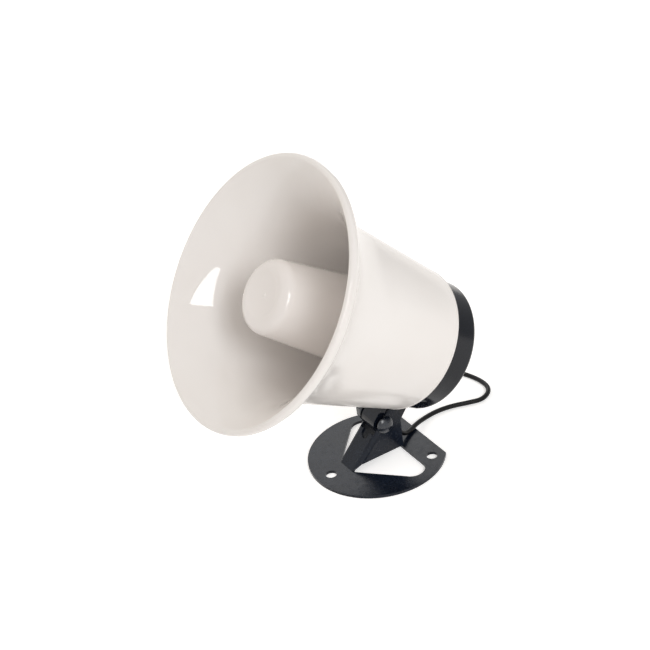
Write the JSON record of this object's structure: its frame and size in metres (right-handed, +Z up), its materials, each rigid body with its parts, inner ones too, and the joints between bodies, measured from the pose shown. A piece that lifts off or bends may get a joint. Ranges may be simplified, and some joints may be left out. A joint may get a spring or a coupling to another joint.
{
  "type": "pa horn speaker",
  "caption": "Small reflex horn loudspeaker: white round bell with a cup inside, black rear cover, tilting steel foot, and a thin lead with a plug.",
  "frame": {"origin": "centre of the foot's round plate, on its underside", "axes": "+Z up off the surface the foot stands on, -Y the way the mouth faces, +X towards the ear with the bolt head"},
  "size_m": [0.177, 0.1724, 0.1639],
  "materials": {
    "painted_steel": "glossy dark paint",
    "plated_steel": "plated",
    "bell_plastic": "glossy",
    "cup_plastic": "glossy",
    "throat_plastic": "satin",
    "gasket_rubber": "matte",
    "diaphragm_film": "satin",
    "former_aluminium": "satin",
    "coil_copper": "varnished",
    "magnet_ferrite": "ground",
    "cover_plastic": "semi-gloss",
    "board_fibre": "matte",
    "tag_brass": "tinned",
    "cord_jacket": "satin",
    "wire_jacket": "satin",
    "tie_plastic": "satin",
    "grip_plastic": "satin",
    "plug_metal": "polished",
    "band_plastic": "satin"
  },
  "bodies": {
    "bracket": {"bracket": "painted_steel", "pivot_bolt": "painted_steel", "pivot_washer": "painted_steel", "pivot_nut": "painted_steel", "cord_drop": "cord_jacket", "cord_run": "cord_jacket", "cord_coil": "cord_jacket", "cord_tail": "cord_jacket", "cord_tie": "tie_plastic", "plug_grip": "grip_plastic", "plug_barrel": "plug_metal", "plug_band": "band_plastic", "plug_tip": "plug_metal"},
    "horn": {"bell": "bell_plastic", "reflector_cup": "cup_plastic", "throat_tube": "throat_plastic", "bell_gasket": "gasket_rubber", "clamp_ring": "throat_plastic", "top_plate": "plated_steel", "magnet": "magnet_ferrite", "yoke": "plated_steel", "driver_screws": "plated_steel", "rear_cover": "cover_plastic", "cover_seal": "gasket_rubber", "cover_screws": "plated_steel", "terminal_board": "board_fibre", "solder_tags": "tag_brass", "cord_grommet": "gasket_rubber", "inner_lead": "cord_jacket", "lead_wires": "wire_jacket"},
    "diaphragm": {"diaphragm": "diaphragm_film", "coil_former": "former_aluminium", "voice_coil": "coil_copper"}
  },
  "joints": [
    {"name": "horn_tilt", "type": "hinge", "parent": "bracket", "child": "horn", "pos_m": [0, 0.0024, 0.0207], "axis": [-1, 0, 0], "range_deg": [-35, 50], "deforming": ["cord_drop"]},
    {"name": "diaphragm_travel", "type": "slide", "parent": "horn", "child": "diaphragm", "axis": [0, -0.7934, 0.6088], "range_m": [-0.0003, 0.0003], "stiffness_N_per_m": 400}
  ]
}
